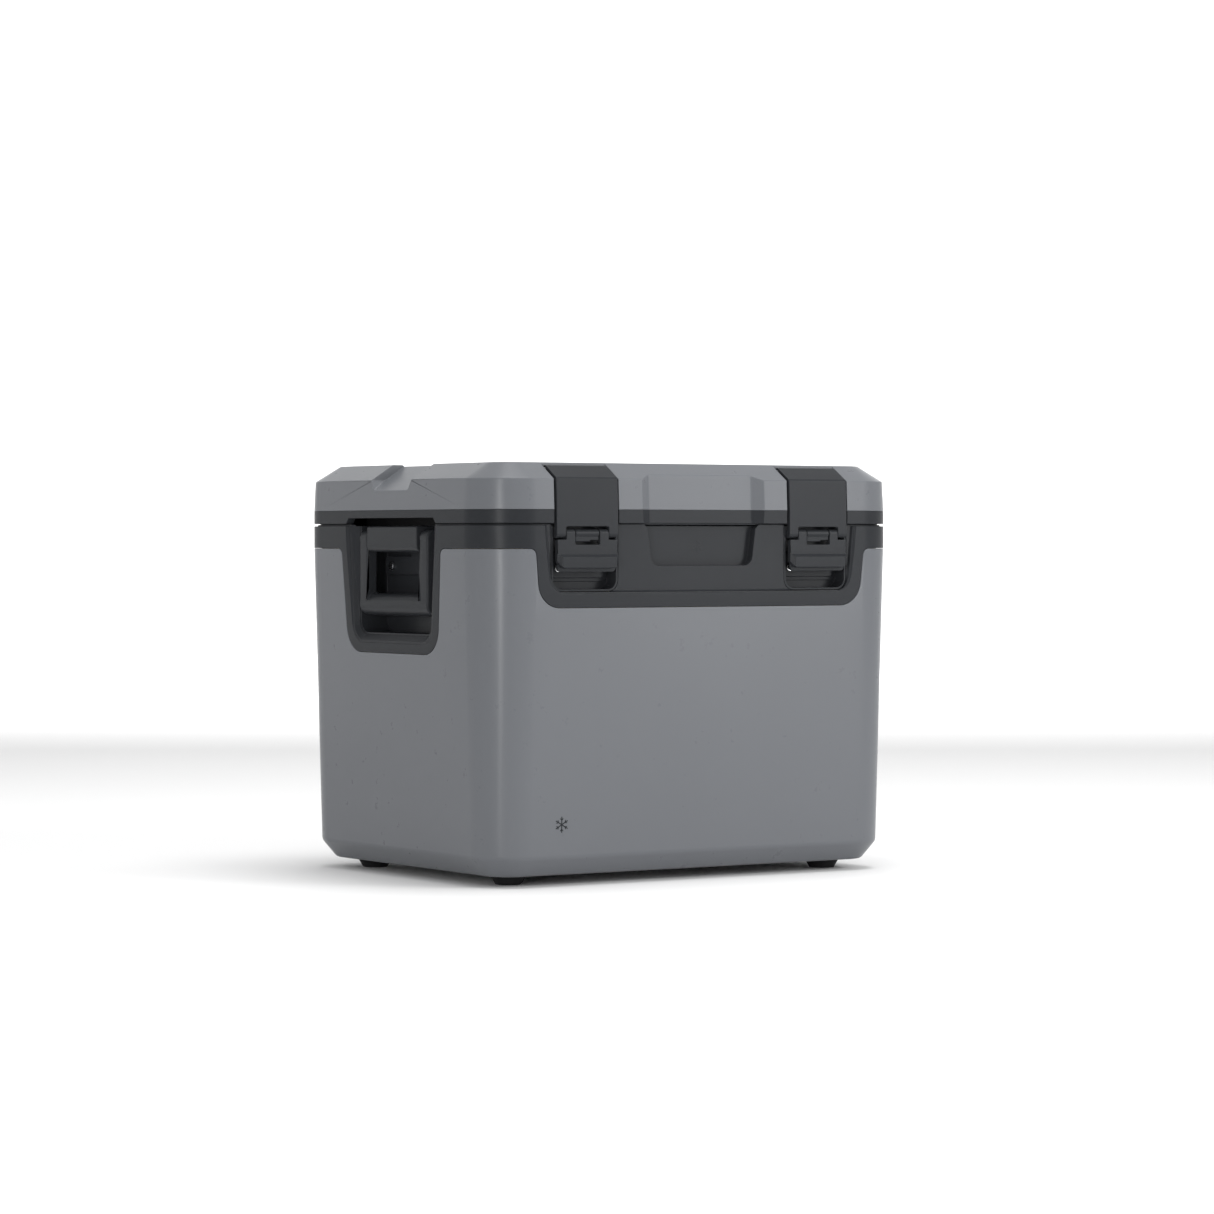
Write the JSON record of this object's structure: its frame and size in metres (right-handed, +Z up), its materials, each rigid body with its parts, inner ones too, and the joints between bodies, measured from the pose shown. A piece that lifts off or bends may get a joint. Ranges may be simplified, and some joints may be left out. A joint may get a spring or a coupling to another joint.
{
  "type": "hard cooler",
  "caption": "Hard-sided insulated cooler on rubber feet, with a hinged lid, front strap latches, recessed drop-down side handles, rear hinges and a side drain plug.",
  "frame": {"origin": "on the floor under the middle of the cooler, at the bottom centre of its box", "axes": "+X to the cooler's right as seen from the front, +Y to the rear (hinges), +Z up; the latches face -Y"},
  "size_m": [0.54, 0.4304, 0.449],
  "materials": {
    "grey_plastic": "satin",
    "dark_plastic": "satin",
    "black_plastic": "satin",
    "pale_plastic": "satin",
    "rubber": "matte",
    "foam": "matte",
    "steel": "satin",
    "bright_screws": "polished"
  },
  "bodies": {
    "tub": {"outer_shell": "grey_plastic", "inner_liner": "pale_plastic", "insulation_foam": "foam", "rim_frame": "dark_plastic", "latch_cup_left": "dark_plastic", "latch_cup_right": "dark_plastic", "catch_plate_left": "dark_plastic", "catch_plate_right": "dark_plastic", "catch_screws": "bright_screws", "handle_cup_left": "dark_plastic", "handle_cup_right": "dark_plastic", "handle_bracket_left": "dark_plastic", "handle_bracket_right": "dark_plastic", "bracket_screws": "steel", "handle_pin_left": "steel", "handle_pin_right": "steel", "foot_front_left": "rubber", "foot_front_right": "rubber", "foot_rear_left": "rubber", "foot_rear_right": "rubber", "foot_screws": "steel", "hinge_tub_leaf_left": "dark_plastic", "hinge_tub_leaf_right": "dark_plastic", "hinge_pin_left": "steel", "hinge_pin_right": "steel", "hinge_tub_screws": "steel", "drain_housing": "dark_plastic"},
    "lid": {"lid_shell": "grey_plastic", "lid_frame": "dark_plastic", "lid_liner": "pale_plastic", "lid_foam": "foam", "lid_gasket": "rubber", "hinge_lid_screws": "steel", "hinge_lid_leaf_left": "dark_plastic", "strap_pin_left": "steel", "hinge_lid_leaf_right": "dark_plastic", "strap_pin_right": "steel"},
    "drain_seal_ring": {"drain_seal": "rubber"},
    "drain_plug_body": {"drain_plug": "black_plastic"},
    "strap_left": {"latch_strap_left": "dark_plastic", "lever_pin_left": "steel", "latch_barrel_left": "dark_plastic"},
    "lever_left": {"latch_lever_left": "dark_plastic"},
    "carry_handle_left": {"handle_left": "dark_plastic"},
    "strap_right": {"latch_strap_right": "dark_plastic", "lever_pin_right": "steel", "latch_barrel_right": "dark_plastic"},
    "lever_right": {"latch_lever_right": "dark_plastic"},
    "carry_handle_right": {"handle_right": "dark_plastic"}
  },
  "joints": [
    {"name": "lid_hinge", "type": "hinge", "parent": "tub", "child": "lid", "pos_m": [0, 0.2093, 0.38325], "axis": [-1, 0, 0], "range_deg": [0, 95]},
    {"name": "strap_hinge_left", "type": "hinge", "parent": "lid", "child": "strap_left", "pos_m": [-0.151, -0.1865, 0.44132], "axis": [-1, 0, 0], "range_deg": [0, 100]},
    {"name": "lever_hinge_left", "type": "hinge", "parent": "strap_left", "child": "lever_left", "pos_m": [-0.151, -0.2059, 0.3735], "axis": [-1, 0, 0], "range_deg": [0, 100]},
    {"name": "handle_hinge_left", "type": "hinge", "parent": "tub", "child": "carry_handle_left", "pos_m": [-0.2564, 0, 0.368], "axis": [0, 1, 0], "range_deg": [0, 90]},
    {"name": "strap_hinge_right", "type": "hinge", "parent": "lid", "child": "strap_right", "pos_m": [0.151, -0.1865, 0.44132], "axis": [-1, 0, 0], "range_deg": [0, 100]},
    {"name": "lever_hinge_right", "type": "hinge", "parent": "strap_right", "child": "lever_right", "pos_m": [0.151, -0.2059, 0.3735], "axis": [-1, 0, 0], "range_deg": [0, 100]},
    {"name": "handle_hinge_right", "type": "hinge", "parent": "tub", "child": "carry_handle_right", "pos_m": [0.2564, 0, 0.368], "axis": [0, -1, 0], "range_deg": [0, 90]},
    {"name": "drain_slide", "type": "slide", "parent": "tub", "child": "drain_seal_ring", "axis": [1, 0, 0], "range_m": [0, 0.0122]},
    {"name": "drain_turn", "type": "hinge", "parent": "drain_seal_ring", "child": "drain_plug_body", "pos_m": [0.25, 0, 0.076], "axis": [1, 0, 0], "range_deg": [0, 1080]}
  ],
  "couplings": [
    {"joint": "drain_slide", "follows": "drain_turn", "m_per_rad": 0.00063662}
  ]
}
